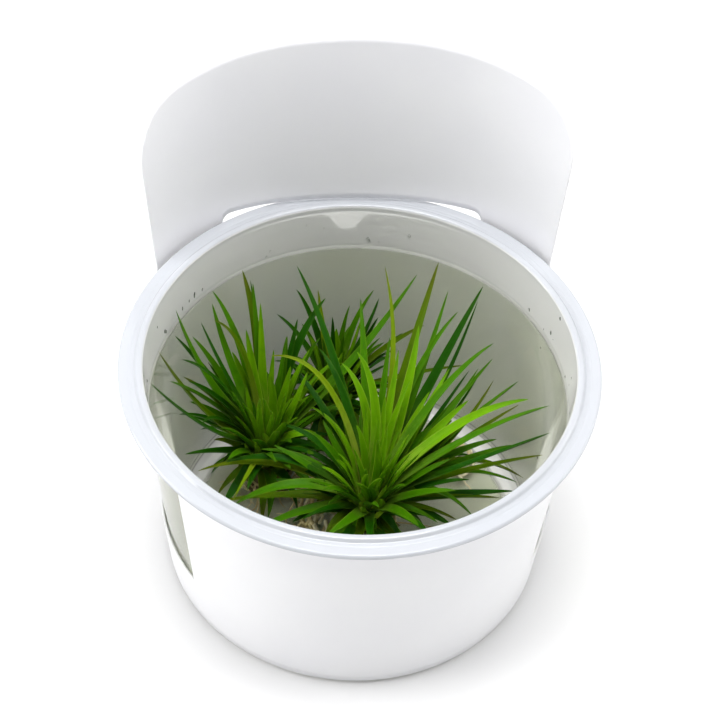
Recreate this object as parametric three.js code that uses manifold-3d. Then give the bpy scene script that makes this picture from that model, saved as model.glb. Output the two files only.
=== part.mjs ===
// A clear plastic tub with a wide rim, wrapped in a white card sleeve whose back panel stands up as a
// display card, and three small grass-like rosette plants with their roots inside it.
// Millimetres, +Z up. The origin is the centre of the tub's underside, and the front label faces -Y.

import * as THREE from 'three';
import Module from 'manifold-3d';
import { mergeVertices } from 'three/addons/utils/BufferGeometryUtils.js';

const wasm = await Module();
wasm.setup();

// Driving dimensions of the tub
const RIM_RADIUS = 47.5;
const TUB_HEIGHT = 55;
const BASE_RADIUS = 38.5;
const FLOOR_TOP = 1.6;
const WALL_TOP = 43;
const TUB_FACETS = 48;

// Driving dimensions of the card sleeve
const CARD = 0.45;
const SLEEVE_BOTTOM = 1.2;
const SLEEVE_BOTTOM_RADIUS = 39.1;
const SLEEVE_SLOPE = 0.0928;
const BAND_TOP = 13.7;
const FRONT_TOP = 52.4;
const FRONT_LEFT_EDGE = -55.5;
const FRONT_RIGHT_EDGE = 61;
const BACK_HALF_ANGLE = 55.2;
const WING_RIGHT_EDGE = 97.5;
const WING_LEFT_EDGE = 254;
const SLOT_HALF_ANGLE = 34;
const SLOT_BOTTOM = 50.6;
const SLOT_TOP = 55;
const NOTCH_DEPTH = 3.8;
const ARCH_TOP = 95.6;
const ARCH_RADIUS = 175;
const ARCH_CORNER = 14;
const ARCH_WIDTH_RADIUS = 49;

// Driving dimensions of the plants
const LEAF_GAP = 0.35;
const LEAF_STEPS = 6;
const BULB_RADIUS = 3.6;
const BULB_HALF_HEIGHT = 5;

const radians = (degrees) => THREE.MathUtils.degToRad(degrees);

// Plain helpers for closed solids

function geometryFrom(points, triangles) {
  const geometry = new THREE.BufferGeometry();
  geometry.setAttribute('position', new THREE.Float32BufferAttribute(points.flat(), 3));
  geometry.setIndex(triangles.flat());
  geometry.computeVertexNormals();
  return geometry;
}

function toManifold(geometry) {
  const bare = geometry.clone();
  bare.deleteAttribute('normal');
  bare.deleteAttribute('uv');
  const merged = mergeVertices(bare, 1e-4);
  return new wasm.Manifold(new wasm.Mesh({
    numProp: 3,
    vertProperties: new Float32Array(merged.attributes.position.array),
    triVerts: new Uint32Array(merged.index.array),
  }));
}

function fromManifold(solid) {
  const mesh = solid.getMesh();
  const geometry = new THREE.BufferGeometry();
  geometry.setAttribute('position', new THREE.BufferAttribute(new Float32Array(mesh.vertProperties), 3));
  geometry.setIndex(Array.from(mesh.triVerts));
  geometry.computeVertexNormals();
  return geometry;
}

// One closed solid from several that run into each other, with any pocket between them filled.
function joined(geometries) {
  const whole = geometries.map(toManifold).reduce((sum, next) => sum.add(next));
  const shells = whole.decompose();
  return fromManifold(shells.reduce((best, shell) => (shell.volume() > best.volume() ? shell : best)));
}

// A closed skin round a list of rings with the same number of points, capped at both ends.
function skin(rings) {
  const sides = rings[0].length;
  const points = rings.flat();
  const triangles = [];
  for (let ring = 0; ring + 1 < rings.length; ring += 1) {
    for (let side = 0; side < sides; side += 1) {
      const a = ring * sides + side;
      const b = ring * sides + (side + 1) % sides;
      triangles.push([a, b, b + sides], [a, b + sides, a + sides]);
    }
  }
  const last = (rings.length - 1) * sides;
  for (let side = 1; side + 1 < sides; side += 1) {
    triangles.push([0, side + 1, side], [last, last + side, last + side + 1]);
  }
  return geometryFrom(points, triangles);
}

function material(color, roughness, options = {}) {
  return new THREE.MeshStandardMaterial({ color, roughness, metalness: 0, ...options });
}

// Tub: one moulding with a stepped floor, a tapered wall, a stacking ledge, a collar and a flat rim

function tubGeometry() {
  const collar = RIM_RADIUS - 4.3;
  const profile = [
    [0, 0],
    [BASE_RADIUS - 1.2, 0],
    [BASE_RADIUS - 0.3, 0.5],
    [BASE_RADIUS, 1.6],
    [collar - 0.95, WALL_TOP - 0.4],
    [collar - 0.7, WALL_TOP + 1],
    [collar, TUB_HEIGHT - 1.9],
    [RIM_RADIUS - 0.3, TUB_HEIGHT - 1.9],
    [RIM_RADIUS, TUB_HEIGHT - 1.6],
    [RIM_RADIUS, TUB_HEIGHT - 1],
    [RIM_RADIUS - 0.3, TUB_HEIGHT - 0.7],
    [RIM_RADIUS - 3.1, TUB_HEIGHT - 0.7],
    [RIM_RADIUS - 3.4, TUB_HEIGHT],
    [collar - 0.2, TUB_HEIGHT],
    [collar - 0.6, TUB_HEIGHT - 0.4],
    [collar - 1.2, WALL_TOP + 1],
    [collar - 1.55, WALL_TOP + 0.4],
    [BASE_RADIUS - 0.9, 4],
    [BASE_RADIUS - 1.3, 2],
    [BASE_RADIUS - 2.2, 1],
    [BASE_RADIUS - 4, 1],
    [BASE_RADIUS - 4.6, FLOOR_TOP],
    [0, FLOOR_TOP],
  ];
  const geometry = new THREE.LatheGeometry(profile.map(([r, z]) => new THREE.Vector2(r, z)), TUB_FACETS);
  return geometry.rotateX(Math.PI / 2);
}

// Sleeve: one strip of card round the tub, with windows cut in its sides and a slot for the rim. Below the
// rim the back panel has a wing at each side, whose top is level with the slot's lower edge.

// Angles round the sleeve run from the front, positive towards +X.
const BACK = 180;
const SEAM = 82;
const SEAM_LAP = 6;

const smooth = (x) => {
  const t = THREE.MathUtils.clamp(x, 0, 1);
  return t * t * (3 - 2 * t);
};

// The back panel and its wings leave the tub's cone above the band, and swing out round the rim beside the
// slot.
function sleeveRadius(angle, z) {
  const fromBack = Math.abs(angle - BACK);
  const cone = SLEEVE_BOTTOM_RADIUS + SLEEVE_SLOPE * (z - SLEEVE_BOTTOM);
  const isBack = angle > WING_RIGHT_EDGE - 0.01 && angle < WING_LEFT_EDGE + 0.01;
  const bulge = 1.23 + 4.3 * Math.sin(radians(1.8 * fromBack)) ** 2;
  const lift = isBack ? bulge * smooth((z - BAND_TOP) / (TUB_HEIGHT - BAND_TOP)) : 0;
  const lap = (CARD + 0.3) * (1 - smooth((angle - SEAM - SEAM_LAP) / SEAM_LAP));
  return cone + lift + lap;
}

function archHeight(angle) {
  const along = Math.abs(radians(angle - BACK)) * ARCH_WIDTH_RADIUS;
  const side = radians(BACK_HALF_ANGLE) * ARCH_WIDTH_RADIUS;
  const centre = side - ARCH_CORNER;
  const joint = centre + ARCH_CORNER * Math.sin(Math.atan(centre / ARCH_RADIUS));
  const arc = (x) => ARCH_TOP - x * x / (2 * ARCH_RADIUS);
  if (along <= joint) return arc(along);
  const drop = Math.sqrt(ARCH_CORNER ** 2 - (joint - centre) ** 2);
  return arc(joint) - drop + Math.sqrt(Math.max(0, ARCH_CORNER ** 2 - (along - centre) ** 2));
}

function notchBottom(angle) {
  const off = Math.abs(angle - BACK - 1);
  return SLOT_BOTTOM - NOTCH_DEPTH * smooth((6 - off) / 4.8);
}

// Columns of the strip: where each stands and which of its rows are card, counted up from the band.
function sleeveColumns() {
  const columns = [];
  const spread = (from, to, step, kind) => {
    const count = Math.ceil((to - from) / step);
    for (let i = 0; i <= count; i += 1) columns.push({ angle: from + (to - from) * i / count, kind });
  };
  const cornerAngles = [55.2, 54.9, 54, 52.5, 50, 46.5, 40];
  const slotAngles = [SLOT_HALF_ANGLE, 28, 22, 16, 10.5, 7, 5, 3, 1];
  const backOffsets = [...cornerAngles, ...slotAngles];
  spread(SEAM, WING_RIGHT_EDGE, 6.5, 'band');
  spread(WING_RIGHT_EDGE, BACK - BACK_HALF_ANGLE, 7, 'wing');
  backOffsets.forEach((offset) => columns.push({ angle: BACK - offset, kind: 'back' }));
  [...backOffsets].reverse().forEach((offset) => columns.push({ angle: BACK + offset, kind: 'back' }));
  spread(BACK + BACK_HALF_ANGLE, WING_LEFT_EDGE, 7, 'wing');
  spread(WING_LEFT_EDGE, 360 + FRONT_LEFT_EDGE, 7.5, 'band');
  spread(360 + FRONT_LEFT_EDGE, 360 + FRONT_RIGHT_EDGE, 6, 'front');
  spread(360 + FRONT_RIGHT_EDGE, 360 + SEAM + SEAM_LAP, 6.5, 'band');
  return columns.filter((c, i) => i === 0 || c.angle - columns[i - 1].angle > 1e-6 || c.kind !== columns[i - 1].kind);
}

function columnHeights({ angle, kind }) {
  const heights = [SLEEVE_BOTTOM, BAND_TOP];
  if (kind === 'front') heights.push(FRONT_TOP);
  if (kind === 'wing') heights.push(26, 39, SLOT_BOTTOM);
  if (kind === 'back') heights.push(26, 39, notchBottom(angle), SLOT_TOP, 74, archHeight(angle));
  return heights;
}

function sleeveGeometry() {
  const columns = sleeveColumns();
  const points = [];
  const lookup = new Map();
  const vertex = (column, row, outer) => {
    const z = columnHeights(column)[row];
    const r = sleeveRadius(column.angle, z) + (outer ? CARD / 2 : -CARD / 2);
    const key = `${column.angle.toFixed(4)} ${z.toFixed(4)} ${outer}`;
    if (!lookup.has(key)) {
      lookup.set(key, points.length);
      const a = radians(column.angle);
      points.push([r * Math.sin(a), -r * Math.cos(a), z]);
    }
    return lookup.get(key);
  };
  const isCard = (left, right, row) => {
    if (row === 0) return true;
    if (left.kind !== right.kind || left.kind === 'band') return false;
    if (left.kind === 'front') return row === 1;
    if (left.kind === 'wing') return row < 4;
    const beside = Math.max(Math.abs(left.angle - BACK), Math.abs(right.angle - BACK));
    return !(row === 4 && beside <= SLOT_HALF_ANGLE + 1e-6);
  };
  const triangles = [];
  const edges = new Map();
  for (let i = 0; i + 1 < columns.length; i += 1) {
    if (columns[i + 1].angle - columns[i].angle < 1e-6) continue;
    for (let row = 0; row < 7; row += 1) {
      if (!isCard(columns[i], columns[i + 1], row)) continue;
      const corners = [[i, row], [i + 1, row], [i + 1, row + 1], [i, row + 1]];
      const outer = corners.map(([c, r]) => vertex(columns[c], r, true));
      const inner = corners.map(([c, r]) => vertex(columns[c], r, false));
      triangles.push([outer[0], outer[1], outer[2]], [outer[0], outer[2], outer[3]]);
      triangles.push([inner[0], inner[2], inner[1]], [inner[0], inner[3], inner[2]]);
      for (let k = 0; k < 4; k += 1) {
        const next = (k + 1) % 4;
        const back = `${outer[next]} ${outer[k]}`;
        if (edges.has(back)) edges.delete(back);
        else edges.set(`${outer[k]} ${outer[next]}`, [outer[k], outer[next], inner[k], inner[next]]);
      }
    }
  }
  edges.forEach(([a, b, c, d]) => triangles.push([b, a, c], [b, c, d]));
  return geometryFrom(points, triangles);
}

// Leaves: long keeled blades that narrow to a point

// A leaf's line leaves the crown along its heading, rises to its tip and bows up and sideways on the way.
// Headings are degrees clockwise from the back, seen from above.
function leafLine(plant, { heading, reach, rise, arch, bow }, inner = false) {
  const out = new THREE.Vector3(Math.sin(radians(heading)), Math.cos(radians(heading)), 0);
  const side = new THREE.Vector3(out.y, -out.x, 0);
  const up = new THREE.Vector3(0, 0, 1);
  const lean = Math.atan2(rise + 2.5 * arch, reach);
  const start = plant.crown.clone();
  if (!inner) {
    start.addScaledVector(out, (BULB_RADIUS + LEAF_GAP) * Math.cos(lean) + 0.25);
    start.z += (BULB_HALF_HEIGHT + LEAF_GAP) * Math.sin(lean);
  }
  const tip = plant.crown.clone().addScaledVector(out, reach).addScaledVector(up, rise);
  const middle = start.clone().lerp(tip, 0.5).addScaledVector(up, 2 * arch).addScaledVector(side, 2 * bow);
  return new THREE.QuadraticBezierCurve3(start, middle, tip);
}

// The blade's half width along it, as a share of its widest: quickly full, then a long even taper.
const bladeShare = (t) => Math.min(1, 0.55 + 3 * t) * Math.max(0.06, 1 - t ** 1.7);

function leafGeometry(plant, leaf, inner = false) {
  const line = leafLine(plant, leaf, inner);
  const rings = [];
  for (let step = 0; step <= LEAF_STEPS; step += 1) {
    const t = step / LEAF_STEPS;
    const at = line.getPoint(t);
    const along = line.getTangent(t);
    const out = new THREE.Vector3(Math.sin(radians(leaf.heading)), Math.cos(radians(leaf.heading)), 0);
    const across = new THREE.Vector3(out.y, -out.x, 0);
    across.addScaledVector(along, -across.dot(along)).normalize();
    const normal = across.clone().cross(along).normalize();
    const half = leaf.width / 2 * bladeShare(t);
    const keel = 0.16 + 0.14 * half;
    const corner = (x, y) => at.clone().addScaledVector(across, x).addScaledVector(normal, y).toArray();
    rings.push([corner(-half, keel * 0.6), corner(0, 0.1), corner(half, keel * 0.6), corner(0, -keel)]);
  }
  return skin(rings);
}

// Crowns: the swollen leaf bases with the packed inner leaves, grown as one piece

function crownGeometry(plant) {
  const bulb = new THREE.SphereGeometry(1, 10, 6).rotateX(Math.PI / 2);
  bulb.scale(BULB_RADIUS, BULB_RADIUS, BULB_HALF_HEIGHT);
  bulb.translate(plant.crown.x, plant.crown.y, plant.crown.z);
  const packed = plant.packed.map((one) => leafGeometry(plant, one, true));
  return joined([bulb, ...packed]);
}

// Roots: a low lumpy mat on the floor of the tub with a few thick strands lying out of it

function rootGeometry(plant) {
  const { radius, strands, turn } = plant.roots;
  const bottom = FLOOR_TOP + 0.35;
  const top = plant.crown.z - BULB_HALF_HEIGHT - 0.35;
  const mat = new THREE.SphereGeometry(1, 16, 6).rotateX(Math.PI / 2);
  const position = mat.attributes.position;
  const point = new THREE.Vector3();
  for (let i = 0; i < position.count; i += 1) {
    point.fromBufferAttribute(position, i);
    const angle = Math.atan2(point.y, point.x);
    const lumps = 1 + 0.13 * Math.sin(3 * angle + turn) + 0.08 * Math.sin(7 * angle - 2 * turn);
    const flat = Math.sign(point.z) * Math.min(0.8, Math.abs(point.z)) / 0.8;
    position.setXYZ(i, point.x * radius * lumps, point.y * radius * lumps,
      (bottom + top) / 2 + flat * (top - bottom) / 2);
  }
  mat.translate(plant.crown.x, plant.crown.y, 0);
  const pieces = [mat];
  for (let k = 0; k < strands; k += 1) {
    const heading = turn + k * 2.4;
    const start = radius * 0.5;
    const end = radius * (1.35 + 0.25 * Math.sin(k * 1.7 + turn));
    const thick = 0.55 + 0.15 * Math.sin(k + turn);
    const rings = [0, 0.3, 0.6, 0.85, 1].map((t) => {
      const away = start + (end - start) * t;
      const bend = heading + 0.35 * t * t * Math.sin(k * 2 + turn);
      const r = thick * (1.1 - 0.75 * t);
      const z = bottom + r + (top - bottom - 2 * r) * 0.6 * (1 - t) ** 2;
      const x = plant.crown.x + away * Math.cos(bend);
      const y = plant.crown.y + away * Math.sin(bend);
      return [0, 1, 2, 3, 4].map((side) => {
        const a = side * Math.PI * 2 / 5;
        return [x - r * Math.cos(a) * Math.sin(bend), y + r * Math.cos(a) * Math.cos(bend), z + r * Math.sin(a)];
      });
    });
    pieces.push(skin(rings));
  }
  return joined(pieces);
}

// The three plants. Each leaf is heading, reach, rise, arch, bow, width and tone; the packed ones are fused
// to the crown they grow from and take its tone.
const leaf = (heading, reach, rise, arch, bow, width, tone) => ({ heading, reach, rise, arch, bow, width, tone });

const plants = [
  {
    name: 'left',
    crown: new THREE.Vector3(-18.6, 12, 12.5),
    roots: { radius: 7.6, strands: 7, turn: 0.4 },
    leaves: [
      leaf(-114.5, 25.2, 34.4, -2.5, -2, 1.6, 'dark'),
      leaf(-94, 21.5, 33.7, -3, -2.5, 2.3, 'olive'),
      leaf(-106, 20, 29, 0.5, 2, 1.6, 'green'),
      leaf(-66, 19.7, 35.6, -0.5, -3, 2.5, 'green'),
      leaf(-98, 17, 32, 4.5, 0.5, 1.8, 'dark'),
      leaf(-104, 16, 27, 1.5, 1, 2.2, 'dark'),
      leaf(-126, 16, 20, 1.5, 3, 1.5, 'dark'),
      leaf(-67, 14, 34.5, 3, -2, 1.4, 'dark'),
      leaf(-53, 13, 32.5, 5.5, 2, 1.6, 'olive'),
      leaf(-45, 15, 34.5, 2.5, -1.5, 2, 'green'),
      leaf(-35, 18.5, 33.5, 3, 1, 2.2, 'green'),
      leaf(-12, 21, 34, 3, 1, 2.4, 'olive'),
      leaf(38, 21, 29.5, 4, -0.5, 2.3, 'dark'),
      leaf(62, 36, 36, -0.5, 2, 2.5, 'green'),
      leaf(-161, 21, 8, 1.5, -0.5, 1.1, 'yellow'),
    ],
    packed: [
      leaf(-8, 16, 35, 3.5, 0, 1.8),
      leaf(-3, 13, 32, 2.5, 0, 2.1),
      leaf(24, 12, 24, 3, 1, 2),
      leaf(74, 8, 12, 3, -3.5, 1.8),
      leaf(102, 9, 8, 5.5, 2.5, 1.9),
      leaf(108, 13, 4, 5, 1, 1.8),
      leaf(64, 10, 20, 3, 2, 2),
      leaf(160, 5, 18, 1, 0, 1.9),
      leaf(-150, 5, 21, 1, 0, 1.9),
    ],
  },
  {
    name: 'right',
    crown: new THREE.Vector3(3, -3, 13),
    roots: { radius: 8.4, strands: 8, turn: 1.9 },
    leaves: [
      leaf(23, 38, 36, 2, 0, 2.4, 'olive'),
      leaf(38, 39, 33, 2, 0.5, 2.4, 'dark'),
      leaf(6, 35, 35, 2.5, 3, 1.4, 'yellow'),
      leaf(-22, 39, 34, 4.5, 0.5, 2.6, 'dark'),
      leaf(56, 30.5, 30.5, 5.5, 0, 2, 'green'),
      leaf(56, 27, 25, 1, 2, 2.1, 'green'),
      leaf(62, 29, 23, -0.5, 3, 1.7, 'olive'),
      leaf(77, 33, 24, 5, -0.5, 2.5, 'young'),
      leaf(85, 36, 27, 3, 0, 2.1, 'green'),
      leaf(91, 36, 23, 1, 1, 1.8, 'dark'),
      leaf(92, 35, 16.5, 0, -1, 1.8, 'olive'),
      leaf(79, 34, -1, 7.5, -0.5, 2.1, 'olive'),
      leaf(74, 34, -6, 5, -0.5, 1.9, 'green'),
      leaf(84, 31, -1, 1, 0.5, 2.3, 'dark'),
      leaf(101, 22, 0, 5, -0.5, 2.2, 'green'),
      leaf(-99, 25, -5, 2.5, 0, 2.3, 'green'),
      leaf(-93, 28, 2, 4.5, 0.5, 2.7, 'green'),
      leaf(-82, 32, -5, 2, 0, 2, 'olive'),
      leaf(-76, 37, 0, 5, 1, 2.2, 'yellow'),
      leaf(-75, 31, 4, 5, 0.5, 2.3, 'dark'),
      leaf(-47, 28, 25, 8.5, 3, 1.4, 'yellow'),
      leaf(-34, 29, 17, 2, 0.5, 2, 'dark'),
      leaf(-26, 23.5, 25, 4.5, 0.5, 2.1, 'dark'),
    ],
    packed: [
      leaf(25, 24, 31, 3, 1.5, 2.7),
      leaf(36, 31.5, 31, 5.5, -1.5, 1.8),
      leaf(-3, 29, 31.5, 5, 0, 2.1),
      leaf(-12, 14, 32, 5, 2.5, 2.4),
      leaf(-19, 18, 25, 5, 2.5, 2.3),
      leaf(48, 22, 25.5, 2.5, 1, 2.3),
      leaf(-62, 25, 2, 7.5, 0.5, 1.7),
      leaf(-38, 16, 3, 2.5, 2, 1.9),
      leaf(-38, 19.5, 13, 3.5, 1.5, 1.9),
      leaf(109, 15, -1, 3, 0.5, 2.1),
      leaf(-104, 9, 2, 3.5, 0, 2.1),
      leaf(164, 5.5, -5, 4, 0.5, 2),
      leaf(-149, 6.5, -5, 3.5, 0.5, 2),
      leaf(140, 11, -5, 3, 0, 2.2),
    ],
  },
  {
    name: 'back',
    crown: new THREE.Vector3(-3.5, 27, 11.5),
    roots: { radius: 6, strands: 5, turn: 3.1 },
    leaves: [
      leaf(-38, 13, 24, 2, 0.5, 1.8, 'dark'),
      leaf(-23, 9, 26, 2, -0.5, 1.6, 'yellow'),
      leaf(45, 12, 25.5, 1, -1, 1.9, 'green'),
      leaf(59, 11, 26, 2, 1.5, 1.6, 'dark'),
      leaf(79, 15, 18, 0.5, 0, 1.8, 'dark'),
      leaf(86, 19, 22, 2.5, 0.5, 1.8, 'olive'),
      leaf(-61, 14, 20, 2.5, 0, 1.9, 'dark'),
      leaf(100, 28, 16, 1.5, 0.5, 1.5, 'olive'),
      leaf(88, 15, 4, 2, 0.5, 1.4, 'dark'),
    ],
    packed: [
      leaf(-7, 4, 22, 2.5, 0, 1.6),
      leaf(25, 8, 22, 1.5, -0.5, 1.8),
      leaf(-120, 8, 15, 1, 0, 1.6),
      leaf(150, 4, 14, 1, 0, 1.6),
    ],
  },
];

// The whole object

const clearPlastic = material(0xe9f0ee, 0.15, { transparent: true, opacity: 0.35 });
const whiteCard = material(0xf4f3f6, 0.6, { side: THREE.DoubleSide });
const leafTones = { young: 0x7fb81a, green: 0x4f941a, dark: 0x2c6a10, olive: 0x6f8420, yellow: 0xa3b02c };
const crownGreen = material(0x6fa51f, 0.5);
const rootTan = material(0x9c8358, 0.85);

const root = new THREE.Group();

function add(name, geometry, meshMaterial) {
  const mesh = new THREE.Mesh(geometry, meshMaterial);
  mesh.name = name;
  root.add(mesh);
}

add('tub', tubGeometry(), clearPlastic);
add('label_sleeve', sleeveGeometry(), whiteCard);
plants.forEach((plant) => {
  add(`${plant.name}_roots`, rootGeometry(plant), rootTan);
  add(`${plant.name}_crown`, crownGeometry(plant), crownGreen);
  plant.leaves.forEach((one, index) => {
    const name = `${plant.name}_leaf_${String(index + 1).padStart(2, '0')}`;
    add(name, leafGeometry(plant, one), material(leafTones[one.tone], 0.45));
  });
});

export default root;
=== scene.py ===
import math

import bmesh
import bpy
import numpy as np
from mathutils import Matrix, Vector


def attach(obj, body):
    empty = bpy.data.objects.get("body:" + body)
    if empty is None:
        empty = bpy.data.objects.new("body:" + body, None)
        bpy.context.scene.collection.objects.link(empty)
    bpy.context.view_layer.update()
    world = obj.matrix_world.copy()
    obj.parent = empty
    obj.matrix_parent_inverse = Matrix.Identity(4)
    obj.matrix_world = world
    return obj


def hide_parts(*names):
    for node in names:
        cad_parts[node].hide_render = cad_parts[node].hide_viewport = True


# Three grass-like rosette plants in a clear plastic tub. A white card sleeve is wrapped round the tub,
# and its back stands up behind the rim as a display card. Sizes are in millimetres until a mesh is made.
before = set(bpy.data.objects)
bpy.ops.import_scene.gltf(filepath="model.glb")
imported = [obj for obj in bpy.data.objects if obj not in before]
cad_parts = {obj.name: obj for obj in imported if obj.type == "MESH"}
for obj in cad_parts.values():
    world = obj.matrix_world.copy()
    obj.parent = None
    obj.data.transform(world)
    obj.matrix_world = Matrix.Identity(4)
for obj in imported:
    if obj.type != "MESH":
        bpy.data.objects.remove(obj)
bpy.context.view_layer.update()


# Tub: one thin-walled injection moulding of clear polypropylene, with a stepped floor, a tapered wall, a
# stacking ledge, a plain collar and a wide flat rim that has a raised bead inside it.

RIM_RADIUS, TUB_HEIGHT = 47.5, 55.0
COLLAR_RADIUS = RIM_RADIUS - 4.3
BASE_RADIUS, FLOOR_TOP, WALL_TOP = 38.5, 1.6, 43.0
MM = 0.001


def rounded(corners, steps=5):
    """Each corner (radius, height, rounding) becomes a quadratic curve that starts and ends its rounding away
    from it on the two sides that meet there; the two ends of the line stay where they are."""
    corner, size = corners[:, :2], corners[:, 2:]
    toward = np.roll(corner, 1, 0) - corner
    onward = np.roll(corner, -1, 0) - corner
    start = corner + size * toward / np.linalg.norm(toward, axis=1, keepdims=True)
    end = corner + size * onward / np.linalg.norm(onward, axis=1, keepdims=True)
    t = np.linspace(0, 1, steps)[None, :, None]
    curve = (1 - t) ** 2 * start[:, None] + 2 * t * (1 - t) * corner[:, None] + t ** 2 * end[:, None]
    return curve.reshape(-1, 2)


def grid_faces(rows, columns, closed):
    """A quad between each four neighbours of a grid of points; closed joins the last column to the first."""
    last = columns if closed else columns - 1
    row, column = np.meshgrid(np.arange(rows - 1), np.arange(last), indexing="ij")
    here, there = row * columns + column, row * columns + (column + 1) % columns
    return np.stack([here, there, there + columns, here + columns], -1).reshape(-1, 4)


def lathe(profile, around):
    """Every (radius, height) of the profile goes round the upright axis at even angles."""
    turn = np.linspace(0, 2 * np.pi, around, endpoint=False)
    radius, height = profile[:, :1], profile[:, 1:]
    return np.stack([radius * np.cos(turn), radius * np.sin(turn), height + 0 * turn], -1).reshape(-1, 3)


def make_piece(name, points, faces, materials, uv=None, finish=None):
    """A mesh object at the origin from points in millimetres. Points that meet are merged, so poles and seams
    are closed. uv gives each point its place on its own surface, finish each face its material's number."""
    mesh = bpy.data.meshes.new(name)
    mesh.from_pydata((points * MM).tolist(), [], faces.tolist())
    for material in materials:
        mesh.materials.append(material)
    if finish is not None:
        mesh.polygons.foreach_set("material_index", finish)
    if uv is not None:
        corner = np.empty(len(mesh.loops), dtype=np.int32)
        mesh.loops.foreach_get("vertex_index", corner)
        mesh.uv_layers.new(name="surface").data.foreach_set("uv", uv[corner].ravel())
    work = bmesh.new()
    work.from_mesh(mesh)
    bmesh.ops.remove_doubles(work, verts=work.verts, dist=2e-7)
    work.to_mesh(mesh)
    work.free()
    mesh.shade_smooth()
    piece = bpy.data.objects.new(name, mesh)
    bpy.context.scene.collection.objects.link(piece)
    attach(piece, "root")
    return piece


class Wire:
    """A socket of a material's nodes. Operators on it add Math nodes, and node() adds any other."""

    def __init__(self, tree, socket=None):
        self.tree, self.socket = tree, socket

    def node(self, kind, inputs, settings=(), output=0):
        """A node of the given type: its settings first, then a value or a Wire for each named socket."""
        node = self.tree.nodes.new(kind)
        for name, value in dict(settings).items():
            if name == "stops":
                while len(node.color_ramp.elements) < len(value):
                    node.color_ramp.elements.new(1.0)
                for element, (place, colour) in zip(node.color_ramp.elements, value):
                    element.position, element.color = place, (*colour, 1.0)
            else:
                setattr(node, name, value)
        for name, value in inputs.items():
            if isinstance(value, Wire):
                self.tree.links.new(value.socket, node.inputs[name])
            else:
                node.inputs[name].default_value = value
        return Wire(self.tree, node.outputs[output] if node.outputs else None)

    def maths(self, operation, first, second=0.0, third=0.0):
        return self.node("ShaderNodeMath", {0: first, 1: second, 2: third}, {"operation": operation})

    def __add__(self, other):
        return self.maths("ADD", self, other)

    def __sub__(self, other):
        return self.maths("SUBTRACT", self, other)

    def __rsub__(self, other):
        return self.maths("SUBTRACT", other, self)

    def __mul__(self, other):
        return self.maths("MULTIPLY", self, other)

    def __pow__(self, other):
        return self.maths("POWER", self, other)

    __radd__, __rmul__ = __add__, __mul__

    def sine(self):
        return self.maths("SINE", self)

    def between(self, low, high):
        """0 below low, 1 above high, and a smooth step between them; high may be the smaller one."""
        return self.node("ShaderNodeMapRange", {0: self, 1: low, 2: high},
                         {"interpolation_type": "SMOOTHSTEP"})

    def noise(self, place, scale, detail=3.0, roughness=0.5):
        return self.node("ShaderNodeTexNoise",
                         {"Vector": place, "Scale": scale, "Detail": detail, "Roughness": roughness})

    def stretched(self, place, scale):
        return self.node("ShaderNodeMapping", {"Vector": place, "Scale": scale})

    def mix(self, share, first, second):
        return self.node("ShaderNodeMix", {0: share, 6: colour_of(first), 7: colour_of(second)},
                         {"data_type": "RGBA"}, output=2)

    def place(self):
        return self.node("ShaderNodeTexCoord", {}, output="Object")

    def bump(self, height, distance, strength=1.0):
        """Relief of the given depth in millimetres."""
        return self.node("ShaderNodeBump", {"Height": height, "Distance": distance * MM, "Strength": strength})

    def principled(self, inputs):
        return self.node("ShaderNodeBsdfPrincipled", inputs)

    def surface(self, inputs):
        """The material's one Principled shader, wired to its output."""
        self.node("ShaderNodeOutputMaterial", {"Surface": self.principled(inputs)})


def colour_of(value):
    """A Wire as it is, or a plain colour made opaque."""
    return value if isinstance(value, Wire) else (*value, 1.0)


def new_material(name):
    """A material without nodes yet, and the Wire that adds them."""
    material = bpy.data.materials.new(name)
    material.use_nodes = True
    material.node_tree.nodes.clear()
    return material, Wire(material.node_tree)


# The moulded ring that stiffens the floor, and how milky the collar is beside the rim.
RING_INSIDE, RING_OUTSIDE, RING_TOP = 32.8, 35.0, 3.0
COLLAR_MILK = 0.72


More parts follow.
